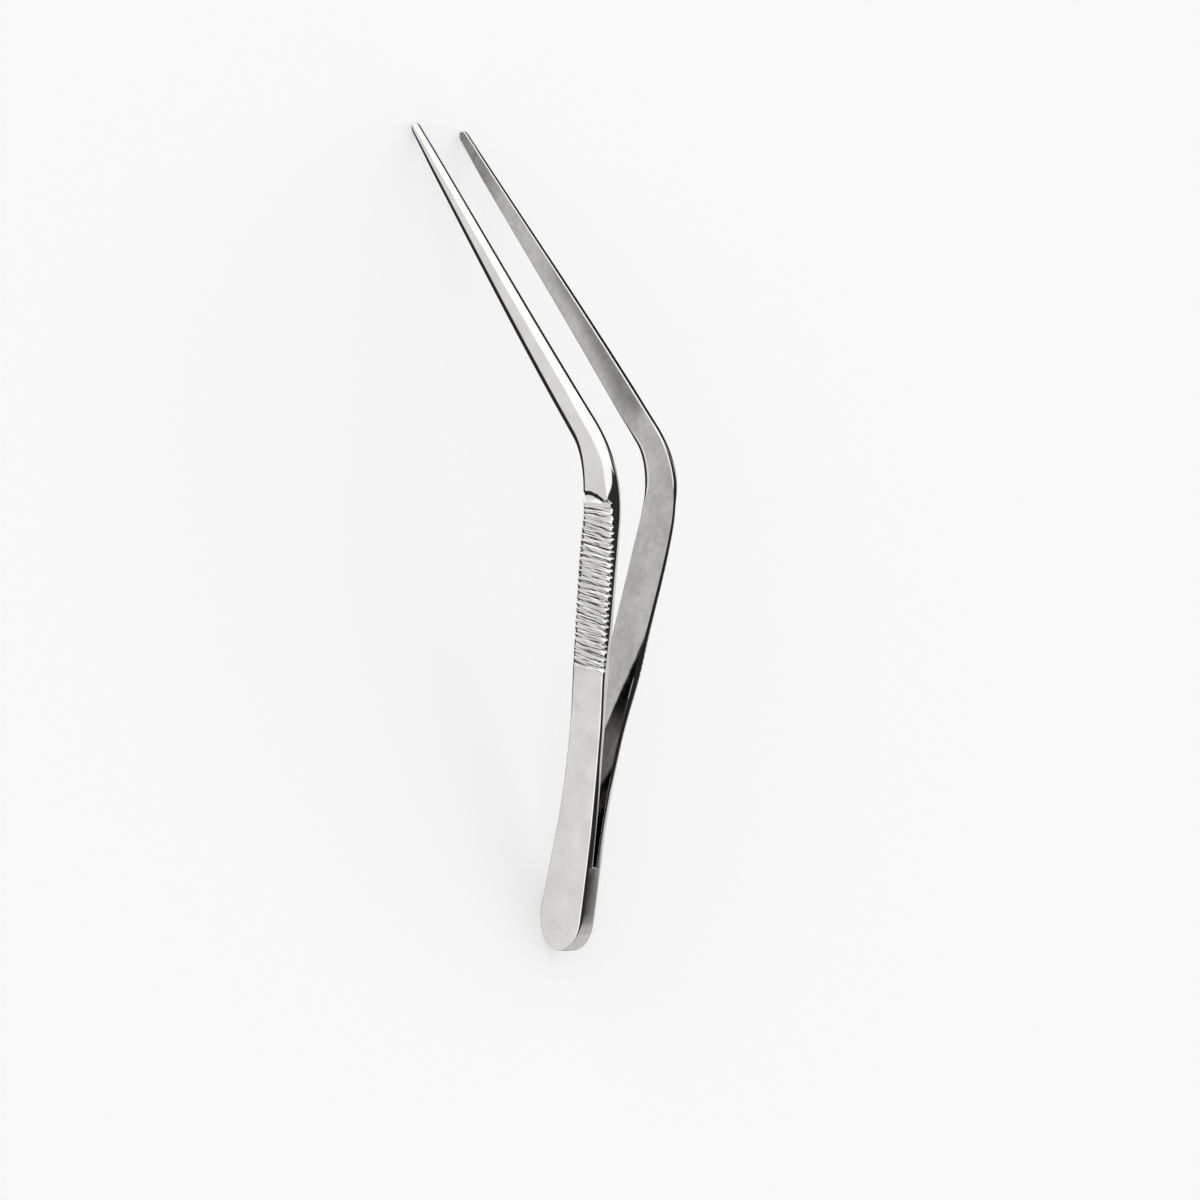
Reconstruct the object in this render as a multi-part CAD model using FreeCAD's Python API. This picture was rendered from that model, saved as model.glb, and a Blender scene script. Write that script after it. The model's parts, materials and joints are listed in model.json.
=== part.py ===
import FreeCAD, Part
import math
import os
from FreeCAD import Base

# Knee-bent spring ear forceps, 14 cm.
# Two mirror-image forged stainless halves are welded flat to flat at a rounded heel.
# Each half runs heel, spring blade, serrated grip, knee and long tapered jaw.
#
# Working frame: Z runs up the handle from the heel's end, +X is the knee's convex side,
# and Y is the direction in which the arms spring apart. The far half lies on +Y.
# The row frame, set at the end, lays the forceps down like a bridge: it rests on the
# heel and on both jaw tips, with the knee on top.
# All sizes are in millimetres and all angles in degrees.

# Centreline
HANDLE_LENGTH = 76.3      # heel's end to the corner of the knee
JAW_LENGTH = 80.4         # corner of the knee to the jaw's end
KNEE_ANGLE = 54.0
KNEE_RADIUS = 16.9        # centreline radius of the bend

# Half widths of the blade, seen square on
HEEL_HALF_WIDTH = 5.0
WAIST_HALF_WIDTH = 3.8
GRIP_HALF_WIDTH = 4.05
KNEE_HALF_WIDTH = 3.72
KNEE_END_HALF_WIDTH = 2.37
JAW_ROOT_HALF_WIDTH = 2.23   # a little way into the jaw
TIP_HALF_WIDTH = 0.86
HEEL_ROUND_LENGTH = 5.7   # height of the heel's rounded end
TIP_ROUND_LENGTH = 1.5

# Places where those widths are reached
WAIST_AT = 34.7
GRIP_AT = 62.2
KNEE_TURN = 0.25          # share of the bend after which the knee starts to narrow

# Thickness of one half
HEEL_THICKNESS = 1.48
SPRING_THICKNESS = 0.98
GRIP_THICKNESS = 1.65
JAW_ROOT_THICKNESS = 1.5
TIP_THICKNESS = 0.92

# Bevel between the outer face and the sides
HEEL_EDGE = 0.2
GRIP_EDGE = 0.45
JAW_EDGE = 0.57
TIP_EDGE = 0.4

# Spring of the arms: distance of each inner face from the middle plane
WELD_THICKNESS = 0.12     # fused layer between the two heel faces
WELD_HOLLOW = 0.12        # radius of the weld's hollow edge at the bottom of the gap
WELD_LENGTH = 14.2        # heel's end to the bottom of the gap
GAP_START = 0.34
SPRING_START = 26.5       # place where the blades begin to spread
SPREAD_START = 0.82
SPREAD_GRIP = 5.0         # where the knee's bend starts
SPREAD_KNEE = 5.79        # where the knee's bend ends
SPREAD_JAW = 5.84         # widest place, on the jaw
SPREAD_TIP = 4.63

# Flexure: the spring blade bends about this place
FLEX_AT = 19.5

# Serrated grip
GRIP_START = 44.2
GRIP_END = 70.4
GRIP_PITCH = 0.97
GRIP_DEPTH = 0.34
GRIP_CREST = 0.3          # flat left between two grooves
GRIP_SINK = 0.28          # depth of the pad below the knee's face
SCOOP_LENGTH = 2.4        # run-out from the pad up to the knee's face
SCOOP_SAG = 0.2           # hollow of that run-out

# Fine cross-serration inside the jaw tips
TIP_TEETH_LENGTH = 6.5
TIP_TEETH_PITCH = 0.5
TIP_TEETH_DEPTH = 0.12
TIP_TEETH_CREST = 0.05    # flat left between two grooves

# Most that two neighbouring cross-sections of the arm lie apart
SECTION_STEP = 8.0
KNEE_SECTION_STEP = 4.0

# Allowances of the cutting shapes, with no effect on the finished form
REACH = 3 * HEEL_HALF_WIDTH
UNDERCUT = 0.5

KNEE = math.radians(KNEE_ANGLE)
KNEE_TANGENT = KNEE_RADIUS * math.tan(KNEE / 2)
KNEE_START = HANDLE_LENGTH - KNEE_TANGENT
KNEE_END = KNEE_START + KNEE_RADIUS * KNEE
BLADE_END = KNEE_END + JAW_LENGTH - KNEE_TANGENT


def centreline(s):
    """Point and slant of the centreline at length s from the heel's end."""
    if s <= KNEE_START:
        return Base.Vector(0, 0, s), 0.0
    turn = min((s - KNEE_START) / KNEE_RADIUS, KNEE)
    x = -KNEE_RADIUS * (1 - math.cos(turn))
    z = KNEE_START + KNEE_RADIUS * math.sin(turn)
    straight = max(s - KNEE_END, 0.0)
    x -= straight * math.sin(turn)
    z += straight * math.cos(turn)
    return Base.Vector(x, 0, z), turn


def smooth(stations, s):
    """Value at s of a smooth curve through the stations, with no overshoot."""
    if s <= stations[0][0]:
        return stations[0][1]
    if s >= stations[-1][0]:
        return stations[-1][1]
    steps = [(b[0] - a[0], (b[1] - a[1]) / (b[0] - a[0])) for a, b in zip(stations, stations[1:])]
    slopes = [steps[0][1]]
    for (h0, d0), (h1, d1) in zip(steps, steps[1:]):
        weight0 = 2 * h1 + h0
        weight1 = h1 + 2 * h0
        flat = d0 * d1 <= 0
        slopes.append(0.0 if flat else (weight0 + weight1) / (weight0 / d0 + weight1 / d1))
    slopes.append(steps[-1][1])
    i = max(k for k in range(len(steps)) if stations[k][0] <= s)
    h = steps[i][0]
    t = (s - stations[i][0]) / h
    ease = t * t * (3 - 2 * t)
    value = stations[i][1] * (1 - ease) + stations[i + 1][1] * ease
    value += h * slopes[i] * t * (1 - t) ** 2
    value -= h * slopes[i + 1] * t * t * (1 - t)
    return value


def half_width(s):
    """Half the blade's width, square to the centreline."""
    return smooth([
        (HEEL_ROUND_LENGTH, HEEL_HALF_WIDTH),
        (WAIST_AT, WAIST_HALF_WIDTH),
        (GRIP_AT, GRIP_HALF_WIDTH),
        (KNEE_START + (KNEE_END - KNEE_START) * KNEE_TURN, KNEE_HALF_WIDTH),
        (KNEE_END, KNEE_END_HALF_WIDTH),
        (KNEE_END + KNEE_TANGENT, JAW_ROOT_HALF_WIDTH),
        (BLADE_END, TIP_HALF_WIDTH),
    ], s)


def thickness(s):
    """Thickness of one half before the grip is cut."""
    return smooth([
        (WELD_LENGTH, SPRING_THICKNESS),
        (WAIST_AT, SPRING_THICKNESS),
        (GRIP_START, (SPRING_THICKNESS + GRIP_THICKNESS) / 2),
        (KNEE_START, GRIP_THICKNESS),
        (KNEE_END + KNEE_TANGENT, JAW_ROOT_THICKNESS),
        (BLADE_END, TIP_THICKNESS),
    ], s)


def edge_size(s):
    """Size of the bevel between the outer face and the sides."""
    return smooth([
        (WAIST_AT, HEEL_EDGE),
        (GRIP_START, GRIP_EDGE),
        (KNEE_START, GRIP_EDGE),
        (KNEE_END + KNEE_TANGENT, JAW_EDGE),
        (BLADE_END, TIP_EDGE),
    ], s)


def gap_top():
    """Height at which the rounded bottom of the gap meets the inner face."""
    return WELD_LENGTH + GAP_START - WELD_THICKNESS / 2


def spread_stations():
    """Heights on the forceps, each with the inner face's distance from the middle plane.

    At the flexure that distance brings the blade's outer face flush with the heel's.
    """
    knee_top = centreline(KNEE_END)[0].z
    jaw_widest = centreline(KNEE_END + KNEE_TANGENT)[0].z
    tip_height = centreline(BLADE_END)[0].z
    return [
        (gap_top(), GAP_START),
        (FLEX_AT, HEEL_THICKNESS - thickness(FLEX_AT)),
        (SPRING_START, SPREAD_START),
        (KNEE_START, SPREAD_GRIP),
        (knee_top, SPREAD_KNEE),
        (jaw_widest, SPREAD_JAW),
        (tip_height, SPREAD_TIP),
    ]


def inner_y(z):
    """Distance of the inner face from the middle plane at height z."""
    return smooth(spread_stations(), z)


def prism(wire, direction):
    return Part.Face(wire).extrude(direction)


def line(a, b):
    return Part.makeLine(a, b)


def arc(a, middle, b):
    return Part.Arc(a, middle, b).toShape()


def curve(points):
    spline = Part.BSplineCurve()
    spline.interpolate(points)
    return spline.toShape()


def steps_between(start, end, step):
    count = max(int(math.ceil((end - start) / step)), 1)
    return [start + (end - start) * i / count for i in range(count + 1)]


def gap_block():
    """Everything between the inner face of one half and the middle plane."""
    weld_half = WELD_THICKNESS / 2
    radius = GAP_START - weld_half
    tip_height = centreline(BLADE_END)[0].z

    def point(y, z):
        return Base.Vector(-REACH * 6, y, z)

    below = point(-REACH, -REACH)
    heel_low = point(weld_half, -REACH)
    heel_high = point(weld_half, WELD_LENGTH)
    throat = point(weld_half + radius / math.sqrt(2), WELD_LENGTH + radius * (1 - 1 / math.sqrt(2)))
    face = [point(inner_y(z), z) for z in steps_between(gap_top(), tip_height, 5.0)]
    above_tip = point(SPREAD_TIP, tip_height + REACH)
    above = point(-REACH, tip_height + REACH)
    wire = Part.Wire([
        line(below, heel_low), line(heel_low, heel_high), arc(heel_high, throat, face[0]),
        curve(face), line(face[-1], above_tip), line(above_tip, above), line(above, below),
    ])
    return prism(wire, Base.Vector(REACH * 8, 0, 0))


def oval_end(nose, side, centre):
    """Half oval from one side of the blade to the other, round its end at nose."""
    long_way = (nose - centre).Length
    if long_way >= (side - centre).Length:
        oval = Part.Ellipse(nose, side, centre)
    else:
        oval = Part.Ellipse(side, nose, centre)
    other = centre * 2 - side
    first, last = sorted([oval.parameter(side), oval.parameter(other)])
    half = Part.ArcOfEllipse(oval, first, last).toShape()
    if (half.CenterOfMass - centre).dot(nose - centre) < 0:
        half = Part.ArcOfEllipse(oval, last, first + 2 * math.pi).toShape()
    return half


def heel_outline(y):
    """Outline of the heel and spring root at height y: rounded end, then flowing sides."""
    nose = Base.Vector(0, y, 0)
    centre = Base.Vector(0, y, HEEL_ROUND_LENGTH)
    stations = steps_between(HEEL_ROUND_LENGTH, FLEX_AT, 4.0)
    side = [Base.Vector(half_width(s), y, s) for s in stations]
    other = [Base.Vector(-point.x, point.y, point.z) for point in side]
    return Part.Wire(Part.__sortEdges__([
        oval_end(nose, side[0], centre), curve(side), line(side[-1], other[-1]), curve(other),
    ]))


def heel_half(gap):
    """Heel and spring root of the far half, with a flat outer face."""
    blank = prism(heel_outline(0), Base.Vector(0, HEEL_THICKNESS, 0))
    rim = [
        e for e in blank.Edges
        if e.BoundBox.YMin > HEEL_THICKNESS / 2 and e.BoundBox.ZMin < FLEX_AT - HEEL_EDGE
    ]
    return blank.makeChamfer(HEEL_EDGE, rim).cut(gap)


def heel_weld():
    """Fused layer between the two heel faces, with a hollow edge at the bottom of the gap."""
    weld_half = WELD_THICKNESS / 2
    layer = prism(heel_outline(-weld_half), Base.Vector(0, WELD_THICKNESS, 0))
    above = Part.makeBox(REACH * 2, REACH, REACH * 2)
    above.translate(Base.Vector(-REACH, -REACH / 2, WELD_LENGTH))
    hollow_height = WELD_LENGTH + math.sqrt(WELD_HOLLOW ** 2 - weld_half ** 2)
    hollow = Part.makeCylinder(WELD_HOLLOW, REACH * 2, Base.Vector(-REACH, 0, hollow_height),
                               Base.Vector(1, 0, 0))
    return layer.cut(above).cut(hollow)


def section(s):
    """Cross-section of the far arm: flat outer face, bevelled edges, deep inner side."""
    centre, slant = centreline(s)
    across = Base.Vector(math.cos(slant), 0, math.sin(slant))
    outer = inner_y(centre.z) + thickness(s)
    wide = half_width(s)
    edge = edge_size(s)
    profile = [
        (-wide, -UNDERCUT), (wide, -UNDERCUT), (wide, outer - edge),
        (wide - edge, outer), (edge - wide, outer), (-wide, outer - edge),
    ]
    corners = [centre + across * u + Base.Vector(0, y, 0) for u, y in profile]
    return Part.makePolygon(corners + corners[:1])


def stretch(start, end, step):
    """Stretch of the far arm, drawn through its cross-sections."""
    return Part.makeLoft([section(s) for s in steps_between(start, end, step)], True, False)


def arm_blank():
    """Far arm from the flexure to the jaw's end, before it is cut."""
    handle = stretch(FLEX_AT, KNEE_START, SECTION_STEP)
    knee = stretch(KNEE_START, KNEE_END, KNEE_SECTION_STEP)
    jaw = stretch(KNEE_END, BLADE_END, SECTION_STEP)
    return handle.fuse([knee, jaw])


def tip_outline(y, inset):
    """Outline of the jaw's rounded end at height y, drawn in by inset, in the tip's own frame."""
    wide = half_width(BLADE_END - TIP_ROUND_LENGTH) - inset
    root = Base.Vector(0, y, -TIP_ROUND_LENGTH)
    nose = root + Base.Vector(0, 0, TIP_ROUND_LENGTH - inset)
    side = root + Base.Vector(wide, 0, 0)
    back = Base.Vector(0, 0, -TIP_ROUND_LENGTH)
    low = root * 2 - side
    return Part.Wire([
        oval_end(nose, side, root), line(low, low + back), line(low + back, side + back),
        line(side + back, side),
    ])


def tip_rounding():
    """Everything outside the rounded end of the jaw, with the bevel carried round it."""
    outer = inner_y(centreline(BLADE_END)[0].z) + thickness(BLADE_END)
    side = prism(tip_outline(-UNDERCUT, 0.0), Base.Vector(0, outer - TIP_EDGE + UNDERCUT, 0))
    bevel = Part.makeLoft([
        tip_outline(outer - TIP_EDGE, 0.0), tip_outline(outer, TIP_EDGE),
    ], True, True)
    top = prism(tip_outline(outer, TIP_EDGE), Base.Vector(0, UNDERCUT, 0))
    block = Part.makeBox(REACH, REACH, REACH + TIP_ROUND_LENGTH)
    block.translate(Base.Vector(-REACH / 2, -UNDERCUT, -TIP_ROUND_LENGTH))
    return place_at_tip(block.cut(side.fuse(bevel).fuse(top)))


def place_at_tip(shape):
    """Turn a shape from the tip's own frame, +Z out of the jaw's end, into the working frame."""
    end, slant = centreline(BLADE_END)
    shape.rotate(Base.Vector(0, 0, 0), Base.Vector(0, 1, 0), -math.degrees(slant))
    shape.translate(end)
    return shape


def outer_y(z):
    """Distance of the handle's outer face from the middle plane, before the grip is cut."""
    return inner_y(z) + thickness(z)


def grip_cutter():
    """Sunk pad with cross grooves, and the scoop that runs out to the knee's face."""
    start = Base.Vector(0, outer_y(GRIP_START), GRIP_START)
    end = Base.Vector(0, outer_y(GRIP_END) - GRIP_SINK, GRIP_END)
    along = (end - start).normalize()
    outward = Base.Vector(0, along.z, -along.y)
    count = int((GRIP_END - GRIP_START) / GRIP_PITCH)
    pitch = (GRIP_END - GRIP_START) / count / along.z
    half_groove = (pitch - GRIP_CREST) / 2

    profile = [start]
    for i in range(count):
        low = start + along * (pitch * i)
        profile.append(low + along * half_groove - outward * GRIP_DEPTH)
        profile.append(low + along * (2 * half_groove))
        profile.append(low + along * pitch)
    scoop_height = GRIP_END + SCOOP_LENGTH
    scoop_top = Base.Vector(0, outer_y(scoop_height), scoop_height)
    scoop_middle = (profile[-1] + scoop_top) * 0.5 - outward * SCOOP_SAG
    clear = outward * REACH
    edges = [line(a, b) for a, b in zip(profile, profile[1:])]
    edges.append(arc(profile[-1], scoop_middle, scoop_top))
    edges.append(line(scoop_top, scoop_top + clear))
    edges.append(line(scoop_top + clear, start + clear))
    edges.append(line(start + clear, start))
    tool = prism(Part.Wire(edges), Base.Vector(REACH * 2, 0, 0))
    tool.translate(Base.Vector(-REACH, 0, 0))
    return tool


def tip_teeth_cutter():
    """Fine V grooves across the inner face of the jaw tip."""
    lean = (SPREAD_JAW - SPREAD_TIP) / (BLADE_END - KNEE_END - KNEE_TANGENT)
    half_groove = (TIP_TEETH_PITCH - TIP_TEETH_CREST) / 2
    grooves = []
    for i in range(int(TIP_TEETH_LENGTH / TIP_TEETH_PITCH)):
        z = -TIP_ROUND_LENGTH / 2 - i * TIP_TEETH_PITCH
        face = SPREAD_TIP - z * lean
        profile = [
            (face - UNDERCUT, z - half_groove), (face, z - half_groove),
            (face + TIP_TEETH_DEPTH, z),
            (face, z + half_groove), (face - UNDERCUT, z + half_groove),
        ]
        corners = [Base.Vector(-REACH, y, height) for y, height in profile]
        grooves.append(prism(Part.makePolygon(corners + corners[:1]), Base.Vector(REACH * 2, 0, 0)))
    return place_at_tip(Part.makeCompound(grooves))


def arm(gap):
    """Far arm: spring blade, serrated grip, knee and tapered jaw."""
    shape = arm_blank().cut(gap)
    shape = shape.cut(tip_rounding())
    shape = shape.cut(grip_cutter())
    return shape.cut(tip_teeth_cutter())


def mirrored(shape):
    return shape.mirror(Base.Vector(0, 0, 0), Base.Vector(0, 1, 0))


def lowest_point(centre, slant, half_wide, length, tilt):
    """Point of an oval end that lies lowest when the forceps leans by tilt."""
    across = Base.Vector(math.cos(slant), 0, math.sin(slant))
    along = Base.Vector(-math.sin(slant), 0, math.cos(slant))
    sideways = half_wide * math.cos(slant - tilt)
    endways = length * math.sin(slant - tilt)
    scale = math.hypot(sideways, endways)
    return centre - across * (half_wide * sideways / scale) + along * (length * endways / scale)


def rest_tilt():
    """Lean at which the heel's end and the jaw's end touch the table together."""
    tip_centre, tip_slant = centreline(BLADE_END - TIP_ROUND_LENGTH)
    tip_wide = half_width(BLADE_END - TIP_ROUND_LENGTH)
    heel_centre = Base.Vector(0, 0, HEEL_ROUND_LENGTH)
    tilt = 0.0
    for _ in range(20):
        heel = lowest_point(heel_centre, 0.0, HEEL_HALF_WIDTH, HEEL_ROUND_LENGTH, tilt)
        tip = lowest_point(tip_centre, tip_slant, tip_wide, TIP_ROUND_LENGTH, tilt)
        tilt = math.atan2(heel.x - tip.x, tip.z - heel.z)
    return math.degrees(tilt)


def to_row_frame(shapes):
    """Lay the forceps on its heel and tips: +X from tips to heel, +Z up, centred, on Z = 0."""
    tilt = rest_tilt()
    for shape in shapes.values():
        shape.rotate(Base.Vector(0, 0, 0), Base.Vector(0, 1, 0), tilt - 90)
    box = Part.makeCompound(list(shapes.values())).optimalBoundingBox(False, False)
    shift = Base.Vector(-(box.XMin + box.XMax) / 2, 0, -box.ZMin)
    for shape in shapes.values():
        shape.translate(shift)
    return tilt, shift


def build():
    gap = gap_block()
    far_heel = heel_half(gap)
    far_arm = arm(gap)
    return {
        "heel_half_near": mirrored(far_heel),
        "heel_half_far": far_heel,
        "heel_weld": heel_weld(),
        "arm_near": mirrored(far_arm),
        "arm_far": far_arm,
    }


shapes = build()
tilt, shift = to_row_frame(shapes)
os.makedirs("parts", exist_ok=True)
for node, shape in shapes.items():
    shape.exportStep("parts/" + node + ".step")
    print(node, shape.isValid(), len(shape.Solids), round(shape.Volume, 2))
print("tilt", round(tilt, 3), "shift", shift)
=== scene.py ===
import json
import math

import bmesh
import bpy
from mathutils import Matrix, Vector, noise


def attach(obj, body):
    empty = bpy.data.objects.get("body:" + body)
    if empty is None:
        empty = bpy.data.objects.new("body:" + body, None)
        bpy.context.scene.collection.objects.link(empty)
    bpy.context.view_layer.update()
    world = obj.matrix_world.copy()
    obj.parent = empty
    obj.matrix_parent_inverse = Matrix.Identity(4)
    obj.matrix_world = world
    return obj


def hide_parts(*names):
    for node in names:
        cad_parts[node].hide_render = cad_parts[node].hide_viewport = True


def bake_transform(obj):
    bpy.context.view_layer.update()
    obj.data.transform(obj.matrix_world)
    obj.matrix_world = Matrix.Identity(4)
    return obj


bl_info = {
    "name": "Ear Forceps",
    "version": (1, 0, 0),
    "blender": (4, 5, 0),
    "location": "View3D > Sidebar > Ear Forceps",
    "description": "Builds a knee-bent spring ear forceps and the studio it lies in",
    "category": "Object",
}

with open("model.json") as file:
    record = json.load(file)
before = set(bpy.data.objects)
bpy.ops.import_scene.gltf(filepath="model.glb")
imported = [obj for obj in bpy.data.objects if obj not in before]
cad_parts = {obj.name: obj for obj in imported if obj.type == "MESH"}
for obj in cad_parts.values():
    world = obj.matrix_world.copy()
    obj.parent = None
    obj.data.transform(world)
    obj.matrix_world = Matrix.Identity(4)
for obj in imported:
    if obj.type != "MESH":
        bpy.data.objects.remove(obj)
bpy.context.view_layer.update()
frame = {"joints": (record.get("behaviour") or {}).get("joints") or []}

MM = 0.001
# Photograph that the camera matches: its side in pixels, and pixels per metre at the aim point
PICTURE = 1200
PICTURE_SCALE = 6372.5
# Pixel of the aim point, and its place in mm from the heel's end, before the forceps are laid down
AIM_PIXEL = (576.522, 538.317)
AIM_POINT = (-12.24, 0.0, 63.24)
ACROSS = 32   # points across an outer face, so that the grip's grooves can waver
POLISHED_OFF = 0.015 * MM   # what the polishing takes off each side
EDGE_STRIP = 0.05 * MM   # narrow strip of each face beside its rounding, which keeps the shading flat


def length(name, description, millimetres):
    """A length property, kept in metres."""
    return bpy.props.FloatProperty(
        name=name, description=description, default=millimetres * MM, min=0.0, unit="LENGTH", precision=5,
    )


def angle(name, description, degrees):
    """An angle property, kept in radians."""
    return bpy.props.FloatProperty(
        name=name, description=description, default=math.radians(degrees), subtype="ANGLE",
    )


def share(name, description, value):
    """A property between 0 and 1."""
    return bpy.props.FloatProperty(
        name=name, description=description, default=value, min=0.0, max=1.0, subtype="FACTOR",
    )


def linear(hex_colour):
    """Linear RGBA of an sRGB hex colour."""
    channels = [int(hex_colour[i:i + 2], 16) / 255 for i in (1, 3, 5)]
    return [c / 12.92 if c <= 0.04045 else ((c + 0.055) / 1.055) ** 2.4 for c in channels] + [1.0]


def colour(name, description, hex_colour):
    """A colour property that shows the sRGB hex colour, kept as linear light."""
    return bpy.props.FloatVectorProperty(
        name=name, description=description, default=linear(hex_colour), size=4, min=0.0, max=1.0,
        subtype="COLOR",
    )


class ForcepsSizes(bpy.types.PropertyGroup):
    """Sizes of one half; the other half mirrors it."""

    handle: length("Handle", "Heel's end to the corner of the knee", 76.3)
    jaw: length("Jaw", "Corner of the knee to the jaw's end", 80.4)
    knee_angle: angle("Knee angle", "Turn between handle and jaw", 54.0)
    knee_radius: length("Knee radius", "Radius of the bend along the middle of the blade", 16.9)

    heel_width: length("Heel half width", "Half width of the rounded heel", 5.0)
    waist_width: length("Waist half width", "Half width where the spring blade is narrowest", 3.8)
    grip_width: length("Grip half width", "Half width at the top of the grip", 4.05)
    knee_width: length("Knee half width", "Half width a little way into the bend", 3.72)
    knee_end_width: length("Knee end half width", "Half width where the bend ends", 2.37)
    jaw_width: length("Jaw half width", "Half width a little way into the jaw", 2.23)
    tip_width: length("Tip half width", "Half width at the jaw's end", 0.86)
    heel_round: length("Heel round", "Length of the heel's rounded end", 5.7)
    tip_round: length("Tip round", "Length of the jaw's rounded end", 1.5)
    waist_at: length("Waist place", "Heel's end to the waist", 34.7)
    grip_at: length("Grip widest place", "Heel's end to the grip's widest place", 62.2)
    knee_turn: share("Knee turn", "Share of the bend after which the knee starts to narrow", 0.25)

    heel_thickness: length("Heel thickness", "Thickness of one heel half", 1.48)
    spring_thickness: length("Spring thickness", "Thickness of the spring blade", 0.98)
    grip_thickness: length("Grip thickness", "Thickness under the knee", 1.65)
    jaw_thickness: length("Jaw thickness", "Thickness a little way into the jaw", 1.5)
    tip_thickness: length("Tip thickness", "Thickness at the jaw's end", 0.92)

    heel_edge: length("Heel edge", "Rounding between the heel's outer face and its sides", 0.2)
    grip_edge: length("Grip edge", "The same along the grip", 0.45)
    grip_bevel: length("Grip bevel", "Width of the flat bevel on the grip's convex side", 1.45)
    bevel_rise: length("Bevel rise", "How far that bevel reaches down the side", 1.25)
    shoulder: length("Knee shoulder", "Width of the soft rounding on the knee's convex side", 2.2)
    shoulder_rise: length("Shoulder rise", "How far that rounding reaches down the side", 0.9)
    jaw_shoulder: length("Jaw shoulder", "Width of the bevel along the jaw's convex side", 1.15)
    tip_shoulder: length("Tip shoulder", "Width of that bevel at the tip", 0.72)
    shadow_edge: length("Concave edge", "Width of the rounding on the jaw's concave side", 1.6)
    shadow_rise: length("Concave edge rise", "How far that rounding reaches down the side", 0.8)
    fullness: length("Concave fullness", "How much the jaw's concave side swells for that rounding", 0.3)
    inner_edge: length("Inner edge", "Rounding along the inner face", 0.12)
    inner_bevel: length("Inner bevel", "How far the inner bevel reaches up the convex side", 0.5)
    knee_inner_edge: length("Knee inner edge", "Rounding of the knee's inner face on the concave side", 1.5)
    side_crown: length("Side crown", "How far a side falls away from a crown at its other edge", 0.2)

    weld: length("Weld thickness", "Fused layer between the two heel faces", 0.12)
    weld_length: length("Weld length", "Heel's end to the bottom of the gap", 14.2)
    gap_start: length("Gap start", "Inner face to the middle plane just above the weld", 0.34)
    flex_at: length("Flexure place", "Heel's end to the place that the spring blade bends about", 19.5)
    spring_start: length("Spring start", "Heel's end to the place where the blades begin to spread", 26.5)
    spread_start: length("Spread at the spring", "Inner face to the middle plane there", 0.82)
    spread_grip: length("Spread at the grip", "The same where the bend starts", 5.0)
    spread_knee: length("Spread at the knee", "The same where the bend ends", 5.79)
    spread_jaw: length("Spread on the jaw", "The same at the widest place", 5.84)
    spread_tip: length("Spread at the tips", "The same at the jaw's end", 4.63)

    grip_start: length("Grip start", "Heel's end to the first groove", 44.2)
    grip_end: length("Grip end", "Heel's end to the last groove", 70.4)
    groove_pitch: length("Groove pitch", "Spacing of the grip's grooves", 0.97)
    groove_depth: length("Groove depth", "Depth of the grip's grooves", 0.34)
    grip_sink: length("Grip sink", "Depth of the pad below the knee's face", 0.28)
    scoop: length("Scoop length", "Run-out from the pad up to the knee's face", 3.8)
    scoop_dip: share("Scoop dip", "Hollow at the foot of that run-out, as a share of its height", 0.3)
    teeth_length: length("Tip teeth length", "Length of the fine serration inside the tips", 6.5)
    teeth_pitch: length("Tip teeth pitch", "Spacing of that serration", 0.5)
    teeth_depth: length("Tip teeth depth", "Depth of that serration", 0.1)


class ForcepsFinish(bpy.types.PropertyGroup):
    """Colours and polish of the steel."""

    steel: colour("Steel", "Face-on colour of the polished stainless steel", "#DCDBD9")
    steel_dull: colour("Handled steel", "Colour where the polish is slightly dulled", "#CFCECB")
    weld: colour("Weld", "Colour of the ground weld", "#C9C8C5")
    polish: share("Polish", "Roughness of the mirror finish", 0.06)
    file_roughness: share("File roughness", "Roughness that the file left in the grip", 0.2)


class StudioSettings(bpy.types.PropertyGroup):
    """Floor, light and camera."""

    paper: colour("Paper", "Pale floor under the forceps", "#C6C6C6")
    floor_half: length("Floor half width", "Middle of the floor to its edge", 4000.0)
    sheet_glow: bpy.props.FloatProperty(
        name="Sheet glow", description="Light that comes up through the floor", default=0.75, min=0.0,
    )
    surroundings: colour("Surroundings", "Pale wall that the camera sees behind the floor", "#F6F6F6")
    sky_strength: bpy.props.FloatProperty(
        name="Sky strength", description="Brightness of the light from all round", default=1.0, min=0.0,
    )
    camera_distance: length("Camera distance", "Camera to the aim point", 510.0)
    camera_around: angle("Camera around", "Turn of the view about the standing forceps", 50.0)
    camera_above: angle("Camera above", "Height of the view over the level", 6.731)
    camera_roll: angle("Camera roll", "Tilt of the picture", -8.984)


def smooth(stations, s):
    """Value at s of a smooth curve through the stations, with no overshoot."""
    if s <= stations[0][0]:
        return stations[0][1]
    if s >= stations[-1][0]:
        return stations[-1][1]
    steps = [(b[0] - a[0], (b[1] - a[1]) / (b[0] - a[0])) for a, b in zip(stations, stations[1:])]
    slopes = [steps[0][1]]
    for (h0, d0), (h1, d1) in zip(steps, steps[1:]):
        weight0 = 2 * h1 + h0
        weight1 = h1 + 2 * h0
        slopes.append(0.0 if d0 * d1 <= 0 else (weight0 + weight1) / (weight0 / d0 + weight1 / d1))
    slopes.append(steps[-1][1])
    i = max(k for k in range(len(steps)) if stations[k][0] <= s)
    h = steps[i][0]
    t = (s - stations[i][0]) / h
    ease = t * t * (3 - 2 * t)
    value = stations[i][1] * (1 - ease) + stations[i + 1][1] * ease
    return value + h * t * (1 - t) * (slopes[i] * (1 - t) - slopes[i + 1] * t)


def spaced(start, end, step):
    """Evenly spaced values from start to end, no more than step apart."""
    count = max(math.ceil((end - start) / step - 1e-9), 1)
    return [start + (end - start) * i / count for i in range(count + 1)]


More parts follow.
